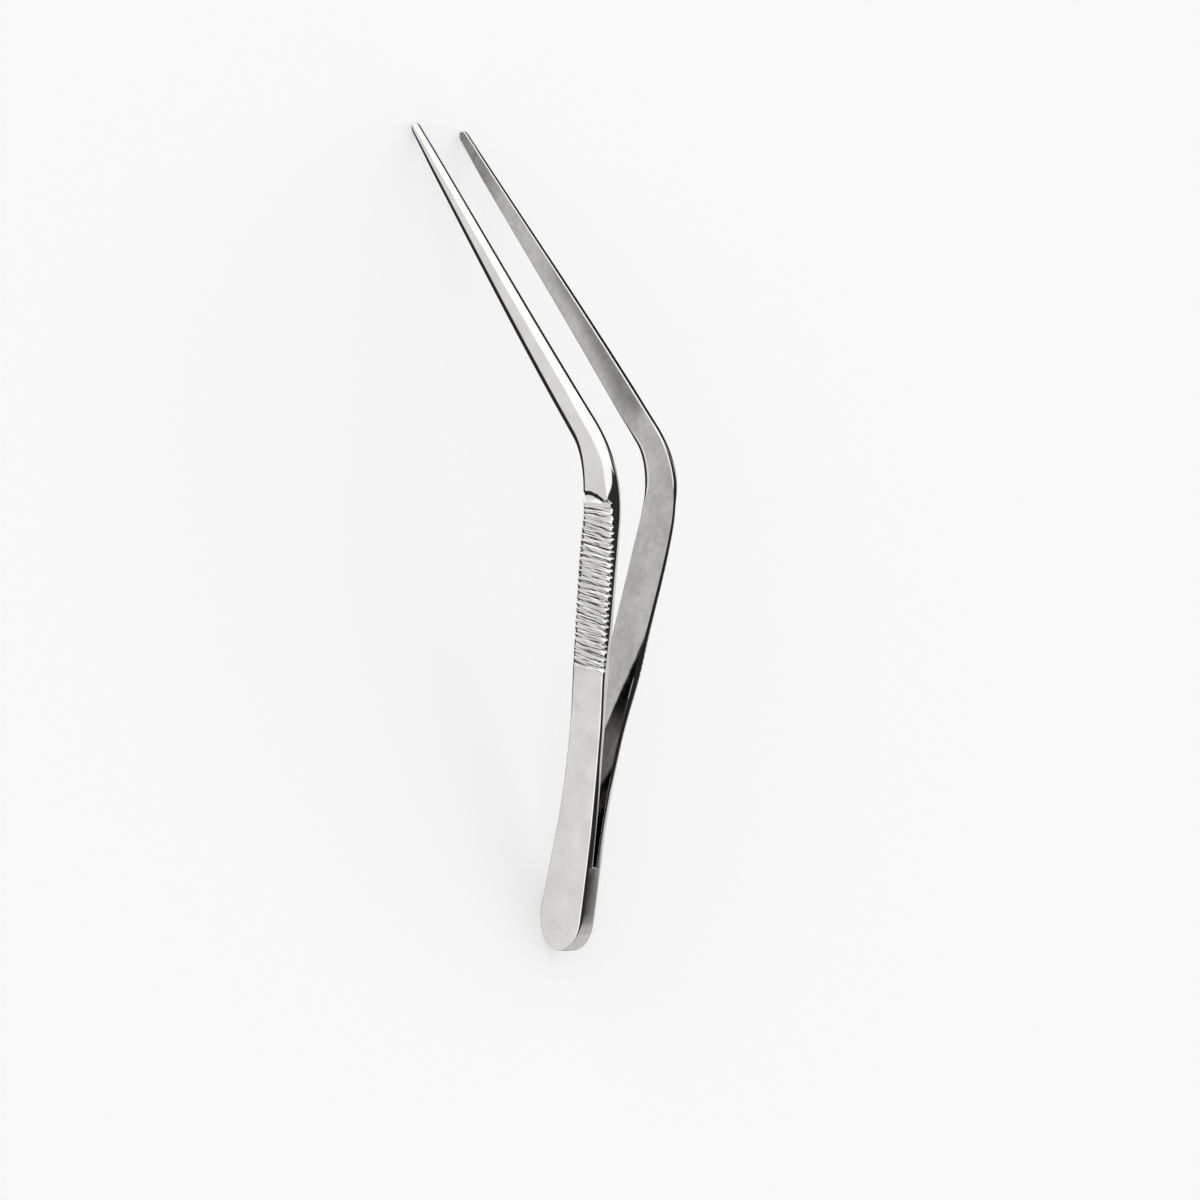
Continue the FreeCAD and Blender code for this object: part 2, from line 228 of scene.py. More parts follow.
# Foot of the scoop's wall: place across the face, share of the scoop's length
SCOOP_FOOT = ((-1.0, 0.86), (-0.8, 0.52), (-0.4, 0.46), (-0.1, 0.32), (0.45, 0.1), (1.0, 0.06))
WALL_HALF = 0.13   # half the wall's own length, as a share of the scoop
# Worn grooves, as shares of the full depth: in the middle, and how they deepen past a place at each edge
MIDDLE_DEPTH = 0.17
DEEPER_ENDS = ((-1, 0.84, 6.0), (1, 0.66, 4.0))
FADED_GROOVE = 0.8   # share of the first and the last groove over which the grip begins and ends
FINE_DEPTH = 0.03   # mean depth of the file's fine lines, in mm
# Strokes of the hand-held file, each one random: width in mm, changes per groove, seed, amount
WAVER = ((4.0, 0.8, 3.1, 0.35), (1.2, 1.1, 8.2, 0.12))   # along the blade, in grooves
UNEVENNESS = ((3.0, 1.7, 5.5, 0.22),)   # depth from groove to groove, as a share
FINE_LINES = ((3.5, 3.1, 1.7, 0.06), (2.2, 6.3, 4.4, 0.05))   # depth in mm
RUN_OUT = ((1.2, 1.0, 2.6, 0.05),)   # along the scoop, as a share of its length


class Blade:
    """Where the faces of one half lie, at each length s along it from the heel's end.

    Most sizes change along the blade. They are held as stations: a length s, and the size there, which is
    often a share of a named one.
    """

    def __init__(self, sizes, hand=0.0):
        self.size = sizes
        self.hand = hand   # sets the file's random strokes apart on the two halves
        self.knee = sizes.knee_angle
        tangent = sizes.knee_radius * math.tan(self.knee / 2)
        self.knee_start = sizes.handle - tangent
        self.knee_end = self.knee_start + sizes.knee_radius * self.knee
        self.knee_middle = (self.knee_start + self.knee_end) / 2
        self.jaw_root = self.knee_end + tangent
        self.end = self.knee_end + sizes.jaw - tangent
        self.tip_start = self.end - 2 * sizes.teeth_length
        self.gap_top = sizes.weld_length + sizes.gap_start - sizes.weld / 2
        self.grooves = int((sizes.grip_end - sizes.grip_start) / sizes.groove_pitch)
        self.pitch = (sizes.grip_end - sizes.grip_start) / self.grooves
        self.grip_full = sizes.grip_start + 9 * sizes.groove_pitch   # the grip's bevel is wide from here on
        self.scoop_end = sizes.grip_end + sizes.scoop
        self.lay_faces()
        self.lay_outer_edges()
        self.lay_inner_edges()
        self.grip_foot = self.uncut_outer(sizes.grip_start)
        self.grip_head = self.uncut_outer(sizes.grip_end) - sizes.grip_sink

    def lay_faces(self):
        """Stations of the half width, the thickness and the spread of the inner faces."""
        size = self.size
        self.widths = [
            (size.heel_round, size.heel_width),
            (size.waist_at, size.waist_width),
            (size.grip_at, size.grip_width),
            (self.knee_start + (self.knee_end - self.knee_start) * size.knee_turn, size.knee_width),
            (self.knee_end, size.knee_end_width),
            (self.jaw_root, size.jaw_width),
            (self.end, size.tip_width),
        ]
        # What the concave side stands proud of that half width
        self.swell = [
            (self.knee_start, 0.0),
            (self.knee_end, size.fullness),
            (self.tip_start, size.fullness),
            (self.end, 0.0),
        ]
        self.thicknesses = [
            (size.weld_length, size.spring_thickness),
            (size.waist_at, size.spring_thickness),
            (size.grip_start, (size.spring_thickness + size.grip_thickness) / 2),
            (self.knee_start, size.grip_thickness),
            (self.jaw_root, size.jaw_thickness),
            (self.end, size.tip_thickness),
        ]
        self.spreads = [
            (self.gap_top, size.gap_start),
            (size.flex_at, size.heel_thickness - size.spring_thickness),
            (size.spring_start, size.spread_start),
            (self.knee_start, size.spread_grip),
            (self.centre(self.knee_end)[0].z, size.spread_knee),
            (self.centre(self.jaw_root)[0].z, size.spread_jaw),
            (self.centre(self.end)[0].z, size.spread_tip),
        ]

    def lay_outer_edges(self):
        """Stations of the roundings beside the outer face, on the convex side 1 and the concave side -1."""
        size = self.size
        # How far down the side each rounding reaches
        self.rise = {
            1: [
                (size.waist_at, size.heel_edge * 2),
                (size.grip_start, size.heel_edge * 1.8),
                (self.grip_full, size.bevel_rise * 0.75),
                (size.grip_end, size.bevel_rise),
                (self.scoop_end, size.bevel_rise * 0.72),
                (self.knee_middle, size.shoulder_rise),
                (self.jaw_root, size.shoulder_rise * 1.15),
                (self.tip_start, size.shoulder_rise * 0.75),
                (self.end, size.tip_shoulder * 0.65),
            ],
            -1: [
                (size.waist_at, size.heel_edge),
                (size.grip_start, size.grip_edge),
                (size.grip_end, size.grip_edge),
                (self.knee_middle, size.shadow_rise),
                (self.tip_start, size.shadow_rise * 0.8),
                (self.end, size.tip_shoulder * 0.8),
            ],
        }
        # How far in on the face it reaches
        self.inset = {
            1: [
                (size.weld_length, size.heel_edge * 2.2),
                (size.grip_start, size.heel_edge * 2.5),
                (self.grip_full, size.grip_bevel * 0.7),
                (size.grip_end, size.grip_bevel),
                (self.scoop_end, (size.grip_bevel + size.shoulder) / 2),
                (self.knee_middle, size.shoulder),
                (self.knee_end, (size.shoulder + size.jaw_shoulder) / 2),
                (self.jaw_root, size.jaw_shoulder),
                (self.tip_start, size.jaw_shoulder * 0.75),
                (self.end, size.tip_shoulder),
            ],
            -1: [
                (size.waist_at, size.heel_edge),
                (self.grip_full, size.grip_edge * 1.8),
                (size.grip_end, size.grip_edge * 1.8),
                (self.scoop_end, size.shadow_edge * 0.7),
                (self.knee_end, size.shadow_edge),
                (self.tip_start, size.shadow_edge * 0.75),
                (self.end, size.tip_shoulder),
            ],
        }
        # How flat the convex side's rounding is: 1 round, 2 a plain chamfer
        self.flatness = [
            (size.grip_start, 1.0),
            (self.grip_full, 1.7),
            (size.grip_end, 1.9),
            (self.knee_middle, 1.0),
        ]

    def lay_inner_edges(self):
        """Stations of the sides' crown, of the inner face's roundings and of the shade painted on it, by
        side as above.
        """
        size = self.size
        # How far the rounding reaches up the convex side, and how far in on the face each one reaches
        self.inner_rise = [
            (size.spring_start, size.inner_edge),
            (size.waist_at, size.inner_bevel),
            (size.grip_start, size.inner_bevel),
            (size.grip_end, size.inner_bevel * 0.7),
            (self.knee_middle, size.inner_bevel * 0.4),
            (self.jaw_root, size.inner_edge),
        ]
        self.inner_edge = {
            1: [
                (size.grip_end, size.inner_edge),
                (self.knee_end, size.inner_edge * 1.6),
                (self.end, size.inner_edge),
            ],
            -1: [
                (size.grip_end, size.inner_edge * 2),
                (self.knee_middle, size.knee_inner_edge),
                (self.jaw_root, size.inner_edge * 2),
                (self.end, size.inner_edge),
            ],
        }
        # The welded heel's sides are crowned over both halves, so each half's is nearly flat
        self.crown = [(size.weld_length, size.side_crown / 10), (size.spring_start, size.side_crown)]
        # Where up the side the crown stands, from 0 at its foot to 1 at its top
        self.crown_middle = [
            (size.weld_length, 0.0),
            (size.spring_start, 0.5),
            (size.waist_at, 1.1),
            (size.grip_start, 1.0),
            (size.grip_at * 0.85, 0.7),
        ]
        # Shade painted on the ground inner faces, from 0 to 1: darker at the jaw's root and near the tips,
        # where they reflect shade
        jaw = self.end - self.jaw_root
        # Painted shade towards the tips
        painted_tip_shade = [(self.end - 0.45 * jaw, 0.0), (self.end - 0.15 * jaw, 0.7), (self.end, 1.0)]
        self.painted_shade = {
            1: [
                (self.knee_end, 0.0),
                (self.jaw_root, 1.0),
                (self.jaw_root + 0.25 * jaw, 0.75),
                (self.jaw_root + 0.4 * jaw, 0.6),
                (self.jaw_root + 0.5 * jaw, 0.0),
                *painted_tip_shade,
            ],
            -1: [
                (self.knee_end, 0.0),
                (self.jaw_root, 0.4),
                (self.jaw_root + 0.1 * jaw, 0.0),
                *painted_tip_shade,
            ],
        }

    def centre(self, s):
        """Point on the centreline, and the blade's slant there."""
        radius = self.size.knee_radius
        turn = min(max((s - self.knee_start) / radius, 0.0), self.knee)
        straight = max(s - self.knee_end, 0.0)
        x = -radius * (1 - math.cos(turn)) - straight * math.sin(turn)
        z = min(s, self.knee_start) + radius * math.sin(turn) + straight * math.cos(turn)
        return Vector((x, 0, z)), turn

    def inner(self, z):
        """Inner face to the middle plane, at height z."""
        size = self.size
        if z <= size.weld_length:
            return size.weld / 2
        if z < self.gap_top:
            radius = size.gap_start - size.weld / 2
            return size.weld / 2 + math.sqrt(radius ** 2 - (self.gap_top - z) ** 2)
        return smooth(self.spreads, z)

    def uncut_outer(self, s):
        """Outer face to the middle plane, before the grip is cut."""
        if s <= self.size.flex_at:
            return self.size.heel_thickness
        return smooth(self.spreads, self.centre(s)[0].z) + smooth(self.thicknesses, s)

    def groove(self, s, u):
        """Height that the grip's cutter leaves at length s, u across: the sunk pad, then the scoop.

        The grooves were filed by hand, so they waver, differ in depth and carry fine lines of their own.
        """
        size = self.size
        across = u / size.grip_width
        if size.grip_start <= s <= size.grip_end:
            along = (s - size.grip_start) / (size.grip_end - size.grip_start)
            pad = self.grip_foot + (self.grip_head - self.grip_foot) * along
            count = (s - size.grip_start) / self.pitch
            fade = min(count / FADED_GROOVE, (self.grooves - count) / FADED_GROOVE, 1.0)
            crest = abs(math.sin(math.pi * (count + self.wander(WAVER, u, count) * fade)))
            ends = sum(gain * max(side * across - place, 0.0) for side, place, gain in DEEPER_ENDS)
            notch = MIDDLE_DEPTH + self.wander(UNEVENNESS, u, round(count)) + ends
            fine = (FINE_DEPTH - self.wander(FINE_LINES, u, count)) * MM
            return pad - (size.groove_depth * notch * (1 - crest) + fine) * fade
        if size.grip_end < s < self.scoop_end:
            # The wheel that sank the pad ran out askew, much higher on the concave side
            wall = smooth(SCOOP_FOOT, across) + self.wander(RUN_OUT, u, 0)
            reach = min(WALL_HALF, wall * 0.8)
            climb = [(0.0, 0.0), (wall - reach, -size.scoop_dip), (wall + reach, 0.9), (1.0, 1.0)]
            along = (s - size.grip_end) / size.scoop
            top = self.uncut_outer(self.scoop_end)
            return self.grip_head + (top - self.grip_head) * smooth(climb, along)
        return math.inf

    def file_down(self, point, s, u):
        """Lower a point of the outer face to the grip's cutter, and give its finish."""
        cut = self.groove(s, u)
        if cut >= point.y:
            return 0.0
        point.y = cut
        return -1.0 if s <= self.size.grip_end else 0.0

    def wander(self, strokes, u, count):
        """Sum of random strokes, each between about plus and minus half its amount."""
        return sum(
            amount * noise.noise(Vector((u / (width * MM), count * changes, seed + self.hand)))
            for width, changes, seed, amount in strokes
        )

    def teeth(self, s):
        """Depth of the fine serration inside the tip."""
        size = self.size
        from_end = self.end - s - size.tip_round / 2
        if 0 < from_end < size.teeth_length:
            fade = min((size.teeth_length - from_end) / (5 * size.teeth_pitch), 1.0)
            return fade * size.teeth_depth * abs(math.cos(math.pi * from_end / size.teeth_pitch)) ** 3
        return 0.0

    def outline(self):
        """Places along one side of the blade: length s, half width, and the way the side faces."""
        size = self.size
        quarter = [math.radians(a) for a in range(0, 90, 6)]
        places = []
        for a in quarter:
            facing = Vector((math.sin(a) / size.heel_width, -math.cos(a) / size.heel_round)).normalized()
            places.append((size.heel_round * (1 - math.cos(a)), size.heel_width * math.sin(a), facing))
        round_start = self.end - size.tip_round
        # Where each stretch starts, and the longest step along it: short where the shape changes fast
        stretches = (
            (size.heel_round, 1.5 * MM),
            (size.weld_length, 0.05 * MM),
            (self.gap_top, 1.0 * MM),
            (size.grip_start, self.pitch / 12),
            (size.grip_end, 0.16 * MM),
            (self.scoop_end, 0.35 * MM),
            (self.jaw_root, 1.0 * MM),
            (self.end - size.teeth_length - 1.0 * MM, size.teeth_pitch / 8),
            (round_start, None),
        )
        body = [size.heel_round]
        for (start, step), (end, _) in zip(stretches, stretches[1:]):
            body += spaced(start, end, step)[1:]
        places += [(s, smooth(self.widths, s), Vector((1, 0))) for s in body]
        tip_width = smooth(self.widths, round_start)
        for a in reversed(quarter):
            facing = Vector((math.sin(a) / tip_width, math.cos(a) / size.tip_round)).normalized()
            places.append((self.end - size.tip_round * (1 - math.cos(a)), tip_width * math.sin(a), facing))
        return places

    def point(self, s, u, y):
        """Point at length s, u across the blade and y from the middle plane."""
        centre, slant = self.centre(s)
        return centre + Vector((math.cos(slant) * u, y, math.sin(slant) * u))


def rounding(inset, rise, steps, flatness=1.0):
    """Rounded corner from the side to a face: how far in from the side, and how far short of the face."""
    turns = [math.pi / 2 * i / steps for i in range(steps)]
    corner = [
        (inset * (1 - math.cos(a) ** flatness), rise * (1 - math.sin(a) ** flatness)) for a in turns
    ]
    return corner + [(inset, 0.0)]


def side_profile(blade, s, width, facing, sign):
    """Points up one side, from the inner face to the outer face. Sign is 1 on the convex side."""
    outer = blade.uncut_outer(s)
    inner = 0.0 if s <= blade.size.weld_length else smooth(blade.inner_edge[sign], s)
    inner_rise = smooth(blade.inner_rise, s) if sign > 0 and inner > 0 else inner
    # At most about a third of the thickness, and less in the bend, where the blades spread on
    inner_rise = min(inner_rise, 0.35 * (outer - blade.inner(s)))
    rise = smooth(blade.rise[sign], s)
    inset = smooth(blade.inset[sign], s)
    flatness = smooth(blade.flatness, s) if sign > 0 else 1.0
    if sign < 0:
        width += smooth(blade.swell, s)
    if facing.y < 0:
        inset *= 1 + 0.85 * facing.y   # the heel's end is rounded less than its sides
        rise *= 1 + 0.85 * facing.y
    # A low side is crowned no more steeply than a tall one
    tall = outer - rise - inner_rise - blade.inner(blade.centre(s)[0].z)
    crown = smooth(blade.crown, s) * min(max(tall / MM, 0.0), 1.0)
    middle = smooth(blade.crown_middle, s)

    def place(inward, height):
        inward += POLISHED_OFF
        u = max(width - inward * facing.x, 0.0) * sign
        point = blade.point(s - inward * facing.y, u, 0.0)
        point.y = height
        return u, point

    points = []
    edge = crown * middle ** 2
    below = [(edge + i, r) for i, r in reversed(rounding(inner, inner_rise, 5, flatness))]
    for inward, height in [(edge + inner + EDGE_STRIP, 0.0)] + below:
        point = place(inward, 0.0)[1]
        point.y = blade.inner(point.z) + blade.teeth(s) + height
        points.append((point, 0.0))
    # The inner face's point carries its ground finish, 1, plus the painted shade
    points[0] = (points[0][0], 1 + smooth(blade.painted_shade[sign], s))
    low, high = point.y, outer - rise
    for up in (0.15, 0.3, 0.45, 0.6, 0.75, 0.9):
        points.append((place(crown * (up - middle) ** 2, low + (high - low) * up)[1], 0.0))
    edge = crown * (1 - middle) ** 2
    above = [(edge + i, r) for i, r in rounding(inset, rise, 9, flatness)]
    for inward, height in above + [(edge + inset + EDGE_STRIP, 0.0)]:
        u, point = place(inward, outer - height)
        points.append((point, blade.file_down(point, s, u)))
    return points, u


def ring(blade, s, width, facing):
    """Points round the blade at one place, each with its finish: polished 0, ground 1, up to 2 where shade
    is painted on, filed -1.
    """
    convex, convex_u = side_profile(blade, s, width, facing, 1)
    concave, concave_u = side_profile(blade, s, width, facing, -1)
    face = []
    for i in range(1, ACROSS):
        point = convex[-1][0].lerp(concave[-1][0], i / ACROSS)
        point.y = blade.uncut_outer(s)
        face.append((point, blade.file_down(point, s, convex_u + (concave_u - convex_u) * i / ACROSS)))
    return convex + face + concave[::-1]


def sweep(bm, rings):
    """Wrap a grid round the rings and close its ends. Each ring's points carry their finish, with the
    painted shade on the ground faces.
    """
    around = len(rings[0])
    bmesh.ops.create_grid(bm, x_segments=around, y_segments=len(rings) - 1, size=1.0)
    finish = bm.verts.layers.float.new("finish")
    bm.verts.ensure_lookup_table()
    for row, points in enumerate(rings):
        for column in range(around + 1):
            vert = bm.verts[row * (around + 1) + column]
            vert.co, vert[finish] = points[column % around]
    bmesh.ops.remove_doubles(bm, verts=bm.verts, dist=0.0005 * MM)
    bmesh.ops.holes_fill(bm, edges=[edge for edge in bm.edges if edge.is_boundary], sides=0)


def finished(name, bm, sharp_degrees=28):
    """Merge points that nearly touch, turn the faces outwards, smooth and link a finished mesh."""
    bmesh.ops.remove_doubles(bm, verts=bm.verts, dist=0.002 * MM)
    bmesh.ops.dissolve_degenerate(bm, edges=bm.edges, dist=0.001 * MM)
    bmesh.ops.recalc_face_normals(bm, faces=bm.faces)
    for face in bm.faces:
        face.smooth = True
    for edge in bm.edges:
        edge.smooth = edge.calc_face_angle(0.0) < math.radians(sharp_degrees)
    mesh = bpy.data.meshes.new(name)
    bm.to_mesh(mesh)
    bm.free()
    piece = bpy.data.objects.new(name, mesh)
    bpy.context.scene.collection.objects.link(piece)
    return piece


def placement(blade):
    """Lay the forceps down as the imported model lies, from the far arm's joint."""
    joint = next(j for j in frame["joints"] if j["name"] == "far_arm_flex")
    lean = math.atan2(joint["axis"][0], joint["axis"][2])
    turn = Matrix.Rotation(lean - math.pi / 2, 4, "Y")
    pivot = Vector((0, blade.inner(blade.size.flex_at), blade.size.flex_at))
    return Matrix.Translation(Vector(joint["pos_m"]) - turn @ pivot) @ turn


def build_half(name, side, material):
    """One forging, heel to jaw tip. Side is 1 for the far half and -1 for the near one."""
    blade = Blade(bpy.context.scene.forceps_sizes, hand=5.0 + side)
    bm = bmesh.new()
    sweep(bm, [ring(blade, *place) for place in blade.outline()])
    mirror = Matrix.Diagonal((1, side, 1, 1))
    place = placement(blade)
    bmesh.ops.transform(bm, matrix=place @ mirror, verts=bm.verts)
    half = finished(name, bm)
    half.data.materials.append(material)
    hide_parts("heel_half_" + name.split("_")[-1], "arm_" + name.split("_")[-1])
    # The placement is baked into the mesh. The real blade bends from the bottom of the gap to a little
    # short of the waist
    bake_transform(half)


def build_weld(material):
    """Fused layer between the two heel faces, ground flush with them."""
    blade = Blade(bpy.context.scene.forceps_sizes)
    size = blade.size
    bm = bmesh.new()
    # Corners in order round each cross-section: side of the blade, side of the layer
    corners = ((1, -1), (1, 1), (-1, 1), (-1, -1))
    rings = []
    for s, width, _ in blade.outline():
        if s <= size.weld_length:
            rings.append([
                (blade.point(s, (width - POLISHED_OFF) * across, size.weld / 2 * through), 0.0)
                for across, through in corners
            ])
    sweep(bm, rings)
    bmesh.ops.transform(bm, matrix=placement(blade), verts=bm.verts)
    weld = finished("weld", bm)
    weld.data.materials.append(material)
    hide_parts("heel_weld")
    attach(weld, "heel")


def add_node(tree, kind, settings=None, inputs=None):
    """Add a node with its settings; inputs are values, or sockets that are linked."""
    node = tree.nodes.new(kind)
    for key, value in (settings or {}).items():
        setattr(node, key, value)
    for key, value in (inputs or {}).items():
        if isinstance(value, bpy.types.NodeSocket):
            tree.links.new(value, node.inputs[key])
        else:
            node.inputs[key].default_value = value
    return node


def noise_tone(tree, place, size_mm, low, high, to_low, to_high):
    """Random clouds of a given size, turned into values between to_low and to_high."""
    clouds = add_node(tree, "ShaderNodeTexNoise", inputs={
        "Vector": place, "Scale": 1 / (size_mm * MM), "Detail": 3.0, "Roughness": 0.55})
    return add_node(tree, "ShaderNodeMapRange", inputs={
        "Value": clouds.outputs["Fac"], "From Min": low, "From Max": high,
        "To Min": to_low, "To Max": to_high}).outputs["Result"]


# Sizes of the finish's patterns, in mm
MOP_CLOUDS = 5.0   # where the mop dwelt
BELT_PATCHES = 6.0   # soft patches on the ground faces
BELT_MOTTLE = 1.1   # finer mottling over them
BELT_GLOSS = 3.0   # how their gloss varies
POLISHING_WAVES = 2.222   # from crest to crest of the gentle waves that hand polishing leaves
WAVE_HEIGHT = 0.06   # drawn higher than real, so that the waves show


def stainless(name, face_on, dulled, polish, filed_rough):
    """Forged martensitic stainless steel, mirror-polished on soft mops, its inner faces only belt-ground.

    Outside it gives the eye hard-edged grey reflections with a faint cloudiness from the mops. The ground
    inner faces are greyer and softer, with patches and mottling, and the filed grip is satin. The ground
    faces also carry painted shade, darker at the jaw's root and towards the tips.
    """
    material = bpy.data.materials.new(name)
    material.use_nodes = True
    tree = material.node_tree
    shader = tree.nodes["Principled BSDF"]
    shader.inputs["Metallic"].default_value = 1.0
    place = add_node(tree, "ShaderNodeTexCoord").outputs["Object"]
    # The mesh's own finish: filed -1, polished 0, ground 1, and ground with painted shade up to 2
    finish = add_node(tree, "ShaderNodeAttribute", {"attribute_name": "finish"}).outputs["Fac"]
    ground = add_node(tree, "ShaderNodeClamp", inputs={"Value": finish}).outputs["Result"]
    # Painted shade: as the finish climbs from 1 towards 2, the ground faces darken to half
    painted_shade = add_node(tree, "ShaderNodeMapRange", {"interpolation_type": "SMOOTHSTEP"}, {
        "Value": finish, "From Min": 1.15, "From Max": 1.8, "To Min": 1.0, "To Max": 0.5})

    clouds = noise_tone(tree, place, MOP_CLOUDS, 0.35, 0.7, 0.0, 1.0)
    mopped = add_node(tree, "ShaderNodeMix", {"data_type": "RGBA"}, {
        "Factor": clouds, "A": face_on, "B": dulled})
    patches = noise_tone(tree, place, BELT_PATCHES, 0.3, 0.7, 0.52, 0.72)
    mottle = noise_tone(tree, place, BELT_MOTTLE, 0.3, 0.7, 0.9, 1.08)
    tone = add_node(tree, "ShaderNodeMath", {"operation": "MULTIPLY"}, {0: patches, 1: mottle})
    # The belt's tone, darkened further by the painted shade
    tone = add_node(tree, "ShaderNodeMath", {"operation": "MULTIPLY"}, {
        0: tone.outputs["Value"], 1: painted_shade.outputs["Result"]})
    belted = add_node(tree, "ShaderNodeMix", {"data_type": "RGBA", "blend_type": "MULTIPLY"}, {
        "Factor": 1.0, "A": face_on, "B": tone.outputs["Value"]})
    base = add_node(tree, "ShaderNodeMix", {"data_type": "RGBA"}, {
        "Factor": ground, "A": mopped.outputs["Result"], "B": belted.outputs["Result"]})

    mop_gloss = noise_tone(tree, place, MOP_CLOUDS, 0.3, 0.75, polish, polish * 1.8)
    belt_gloss = noise_tone(tree, place, BELT_GLOSS, 0.3, 0.7, 0.05, 0.09)
    rough = add_node(tree, "ShaderNodeMix", inputs={"Factor": ground, "A": mop_gloss, "B": belt_gloss})
    filed = add_node(tree, "ShaderNodeMath", {"operation": "MULTIPLY", "use_clamp": True}, {
        0: finish, 1: -1.0})
    rough = add_node(tree, "ShaderNodeMix", inputs={
        "Factor": filed.outputs["Value"], "A": rough.outputs["Result"], "B": filed_rough})

    waves = add_node(tree, "ShaderNodeTexNoise", inputs={
        "Vector": place, "Scale": 1 / (POLISHING_WAVES * MM), "Detail": 2.0, "Roughness": 0.5})
    bump = add_node(tree, "ShaderNodeBump", inputs={
        "Strength": 0.12, "Distance": WAVE_HEIGHT * MM, "Height": waves.outputs["Fac"]})
    tree.links.new(base.outputs["Result"], shader.inputs["Base Color"])
    tree.links.new(rough.outputs["Result"], shader.inputs["Roughness"])
    tree.links.new(bump.outputs["Normal"], shader.inputs["Normal"])
    return material


def polished_steel():
    """Steel of both halves."""
    finish = bpy.context.scene.forceps_finish
    name = "mirror_polished_stainless"
    return bpy.data.materials.get(name) or stainless(
        name, finish.steel, finish.steel_dull, finish.polish, finish.file_roughness)


def weld_steel():
    """TIG-welded stainless steel, ground flush and polished: a shade greyer and softer than the halves."""
    finish = bpy.context.scene.forceps_finish
    return stainless(
        "polished_weld", finish.weld, finish.steel_dull, finish.polish * 1.6, finish.file_roughness)


class FORCEPS_OT_near_half(bpy.types.Operator):
    """Near forging, from the rounded heel to the jaw tip"""

    bl_idname = "forceps.near_half"
    bl_label = "Near half"

    def execute(self, context):
        build_half("half_near", -1, polished_steel())
        return {"FINISHED"}


class FORCEPS_OT_far_half(bpy.types.Operator):
    """Far forging, the near one's mirror image"""

    bl_idname = "forceps.far_half"
    bl_label = "Far half"

    def execute(self, context):
        build_half("half_far", 1, polished_steel())
        return {"FINISHED"}


class FORCEPS_OT_weld(bpy.types.Operator):
    """Weld between the two heel faces"""

    bl_idname = "forceps.weld"
    bl_label = "Weld"

    def execute(self, context):
        build_weld(weld_steel())
        return {"FINISHED"}


class FORCEPS_OT_stage(bpy.types.Operator):
    """Pale floor, soft light and the camera"""

    bl_idname = "forceps.stage"
    bl_label = "Stage"

    def execute(self, context):
        build_floor()
        build_light()
        build_camera()
        return {"FINISHED"}


def build_floor():
    """Pale translucent sheet under the forceps, lit softly from below so that shadows stay faint."""
    studio = bpy.context.scene.forceps_studio
    material = bpy.data.materials.new("lit_pale_sheet")
    material.use_nodes = True
    shader = material.node_tree.nodes["Principled BSDF"]
    shader.inputs["Base Color"].default_value = studio.paper
    shader.inputs["Roughness"].default_value = 0.9
    shader.inputs["Specular IOR Level"].default_value = 0.1
    shader.inputs["Emission Color"].default_value = studio.paper
    shader.inputs["Emission Strength"].default_value = studio.sheet_glow
    bm = bmesh.new()
    bmesh.ops.create_grid(bm, x_segments=1, y_segments=1, size=studio.floor_half)
    mesh = bpy.data.meshes.new("floor")
    bm.to_mesh(mesh)
    bm.free()
    floor = bpy.data.objects.new("floor", mesh)
    bpy.context.scene.collection.objects.link(floor)
    floor.data.materials.append(material)
    # The steel reflects the studio's own floor and walls instead, which the world holds by direction
    floor.visible_glossy = False


# What the polished steel reflects, from straight below (-1) to straight above (1): height, brightness
SURROUND = (
    (-1.0, 0.98), (-0.28, 0.98), (-0.18, 0.45), (0.36, 0.60), (0.50, 0.48), (0.60, 0.26), (0.64, 0.07),
    (0.69, 0.02),
)
# Cards and openings set into it: direction, radius in degrees, soft edge in degrees, brightness
CARDS = (
    ((0.70, 0.60, -0.40), 32, 8, 0.74),
    ((0.20, 0.95, 0.20), 26, 6, 0.85),
    ((0.05, -0.98, -0.10), 25, 9, 1.5),
    ((-0.80, -0.50, 0.20), 55, 8, 1.5),
    ((-0.05, 0.10, -0.99), 37, 5, 0.03),
    ((-0.38, 0.78, -0.50), 30, 5, 0.01),
    ((-0.73, 0.66, 0.15), 22, 4, 0.01),
    ((-0.24, 0.64, -0.73), 13, 4, 0.5),
    ((0.42, -0.60, 0.68), 40, 5, 0.03),
    ((0.45, -0.60, -0.66), 16, 5, 0.04),
)


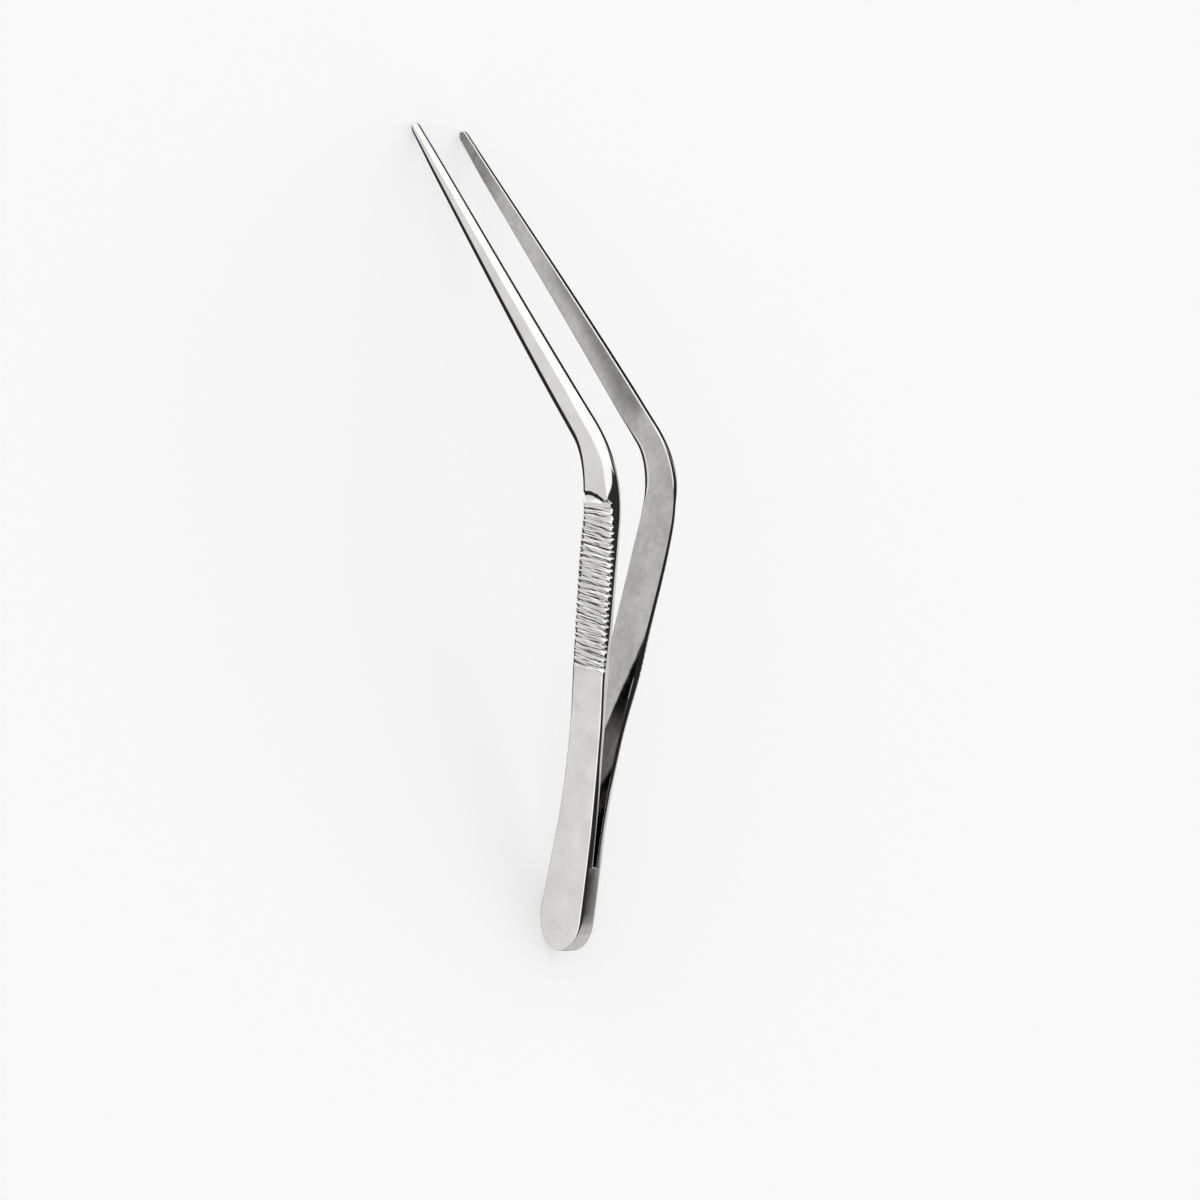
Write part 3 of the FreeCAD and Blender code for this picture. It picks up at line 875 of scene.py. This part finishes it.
def build_light():
    """Plain soft light from all round.

    The steel reflects a pale floor, grey walls, a window and a dark ceiling.
    """
    scene = bpy.context.scene
    studio = scene.forceps_studio
    scene.view_settings.view_transform = "Standard"
    world = bpy.data.worlds.new("studio")
    scene.world = world
    world.use_nodes = True
    tree = world.node_tree
    way = add_node(tree, "ShaderNodeTexCoord").outputs["Generated"]
    height = add_node(tree, "ShaderNodeSeparateXYZ", inputs={"Vector": way}).outputs["Z"]
    height = add_node(tree, "ShaderNodeMapRange", inputs={"Value": height, "From Min": -1.0})
    ramp = add_node(tree, "ShaderNodeValToRGB", inputs={"Fac": height.outputs["Result"]})
    stops = ramp.color_ramp.elements
    for place, brightness in SURROUND:
        stop = stops.new((place + 1) / 2)
        stop.color = (brightness, brightness, brightness, 1)
    stops.remove(stops[-1])
    stops.remove(stops[0])
    reflected = ramp.outputs["Color"]
    for direction, radius, softness, brightness in CARDS:
        toward = add_node(tree, "ShaderNodeVectorMath", {"operation": "DOT_PRODUCT"}, {
            0: way, 1: Vector(direction).normalized()})
        inside = add_node(tree, "ShaderNodeMapRange", {"interpolation_type": "SMOOTHSTEP"}, {
            "Value": toward.outputs["Value"], "From Min": math.cos(math.radians(radius + softness / 2)),
            "From Max": math.cos(math.radians(radius - softness / 2))})
        reflected = add_node(tree, "ShaderNodeMix", {"data_type": "RGBA"}, {
            "Factor": inside.outputs["Result"], "A": reflected,
            "B": (brightness, brightness, brightness, 1)}).outputs["Result"]
    seen = add_node(tree, "ShaderNodeLightPath").outputs["Is Glossy Ray"]
    shown = add_node(tree, "ShaderNodeMix", {"data_type": "RGBA"}, {
        "Factor": seen, "A": studio.surroundings, "B": reflected})
    background = tree.nodes["Background"]
    tree.links.new(shown.outputs["Result"], background.inputs["Color"])
    background.inputs["Strength"].default_value = studio.sky_strength


def build_camera():
    """Camera where the photograph was taken from."""
    scene = bpy.context.scene
    studio = scene.forceps_studio
    around, above, roll = studio.camera_around, studio.camera_above, studio.camera_roll
    right = Vector((math.cos(around), math.sin(around), 0))
    up = Vector((-math.sin(around) * math.sin(above), math.cos(around) * math.sin(above), math.cos(above)))
    back = right.cross(up)
    right, up = (
        right * math.cos(roll) - up * math.sin(roll),
        right * math.sin(roll) + up * math.cos(roll),
    )
    aim_across = (AIM_PIXEL[0] - PICTURE / 2) / PICTURE_SCALE
    aim_up = (PICTURE / 2 - AIM_PIXEL[1]) / PICTURE_SCALE
    eye = Vector(AIM_POINT) * MM - right * aim_across - up * aim_up + back * studio.camera_distance
    pose = Matrix((right, up, back)).transposed().to_4x4()
    pose.translation = eye
    data = bpy.data.cameras.new("camera")
    data.sensor_width = 36.0
    data.lens = data.sensor_width * PICTURE_SCALE * studio.camera_distance / PICTURE
    data.clip_start = 0.01
    data.clip_end = 20.0
    camera = bpy.data.objects.new("camera", data)
    camera.matrix_world = placement(Blade(scene.forceps_sizes)) @ pose
    scene.collection.objects.link(camera)
    scene.camera = camera


class FORCEPS_PT_panel(bpy.types.Panel):
    """Lists the pieces in the 3D view's sidebar"""

    bl_idname = "FORCEPS_PT_panel"
    bl_label = "Ear Forceps"
    bl_space_type = "VIEW_3D"
    bl_region_type = "UI"
    bl_category = "Ear Forceps"

    def draw(self, context):
        for operator in STEPS:
            self.layout.operator(operator.bl_idname)
        for group in ("forceps_sizes", "forceps_finish", "forceps_studio"):
            settings = getattr(context.scene, group)
            box = self.layout.box()
            for name in settings.bl_rna.properties.keys():
                if name not in ("rna_type", "name"):
                    box.prop(settings, name)


STEPS = (FORCEPS_OT_near_half, FORCEPS_OT_far_half, FORCEPS_OT_weld, FORCEPS_OT_stage)
GROUPS = {
    "forceps_sizes": ForcepsSizes,
    "forceps_finish": ForcepsFinish,
    "forceps_studio": StudioSettings,
}


def register():
    for made in (*GROUPS.values(), *STEPS, FORCEPS_PT_panel):
        bpy.utils.register_class(made)
    for name, group in GROUPS.items():
        setattr(bpy.types.Scene, name, bpy.props.PointerProperty(type=group))


def unregister():
    for name in GROUPS:
        delattr(bpy.types.Scene, name)
    for made in reversed((*GROUPS.values(), *STEPS, FORCEPS_PT_panel)):
        bpy.utils.unregister_class(made)


def main():
    register()
    bpy.ops.forceps.near_half()
    bpy.ops.forceps.far_half()
    bpy.ops.forceps.weld()
    bpy.ops.forceps.stage()


if __name__ == "__main__":
    main()
